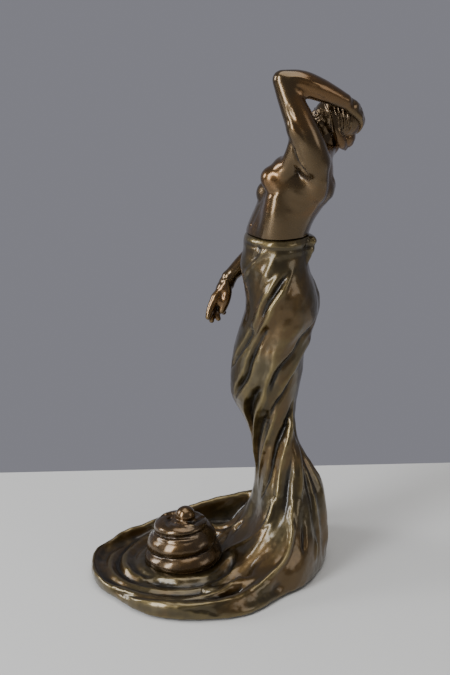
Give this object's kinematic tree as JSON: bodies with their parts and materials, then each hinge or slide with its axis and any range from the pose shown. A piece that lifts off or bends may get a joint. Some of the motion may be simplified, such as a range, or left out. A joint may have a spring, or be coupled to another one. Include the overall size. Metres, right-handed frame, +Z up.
{
  "type": "figurine",
  "caption": "Cast bronze figural inkstand: a draped standing woman, one arm over the head, whose skirt runs into a swirling dish with a hinged coiled lid over the ink pot.",
  "frame": {"origin": "middle of the object's box, on the surface that it stands on", "axes": "+Z up along the figure, -X the way the figure faces, -Y the open front of the dish"},
  "size_m": [0.1255, 0.1037, 0.2347],
  "materials": {
    "cloth_bronze": "glossy brown-gold bronze patina, nearly black in the folds, rubbed golden on the ridges",
    "skin_bronze": "smooth, glossy red-brown bronze patina",
    "hinge_brass": "aged brass, satin",
    "pin_steel": "plain dull steel",
    "pot_glass": "clear pressed glass"
  },
  "bodies": {
    "stand": {"base_dish": "cloth_bronze", "skirt": "cloth_bronze", "torso": "skin_bronze", "head": "skin_bronze", "left_arm": "skin_bronze", "right_arm": "skin_bronze", "neck_pin": "pin_steel", "left_shoulder_pin": "pin_steel", "right_shoulder_pin": "pin_steel", "tie_rod": "pin_steel", "tie_washer": "pin_steel", "tie_nut": "pin_steel", "ink_pot": "pot_glass", "base_hinge_leaf": "hinge_brass", "base_hinge_screw_1": "hinge_brass", "base_hinge_screw_2": "hinge_brass", "hinge_pin": "pin_steel"},
    "lid_assembly": {"lid": "cloth_bronze", "lid_hinge_leaf": "hinge_brass", "lid_hinge_rivet_1": "hinge_brass", "lid_hinge_rivet_2": "hinge_brass"}
  },
  "joints": [
    {"name": "lid_hinge", "type": "hinge", "parent": "stand", "child": "lid_assembly", "pos_m": [-0.0188, 0.0185, 0.0088], "axis": [-1, 0, 0], "range_deg": [0, 95]}
  ]
}
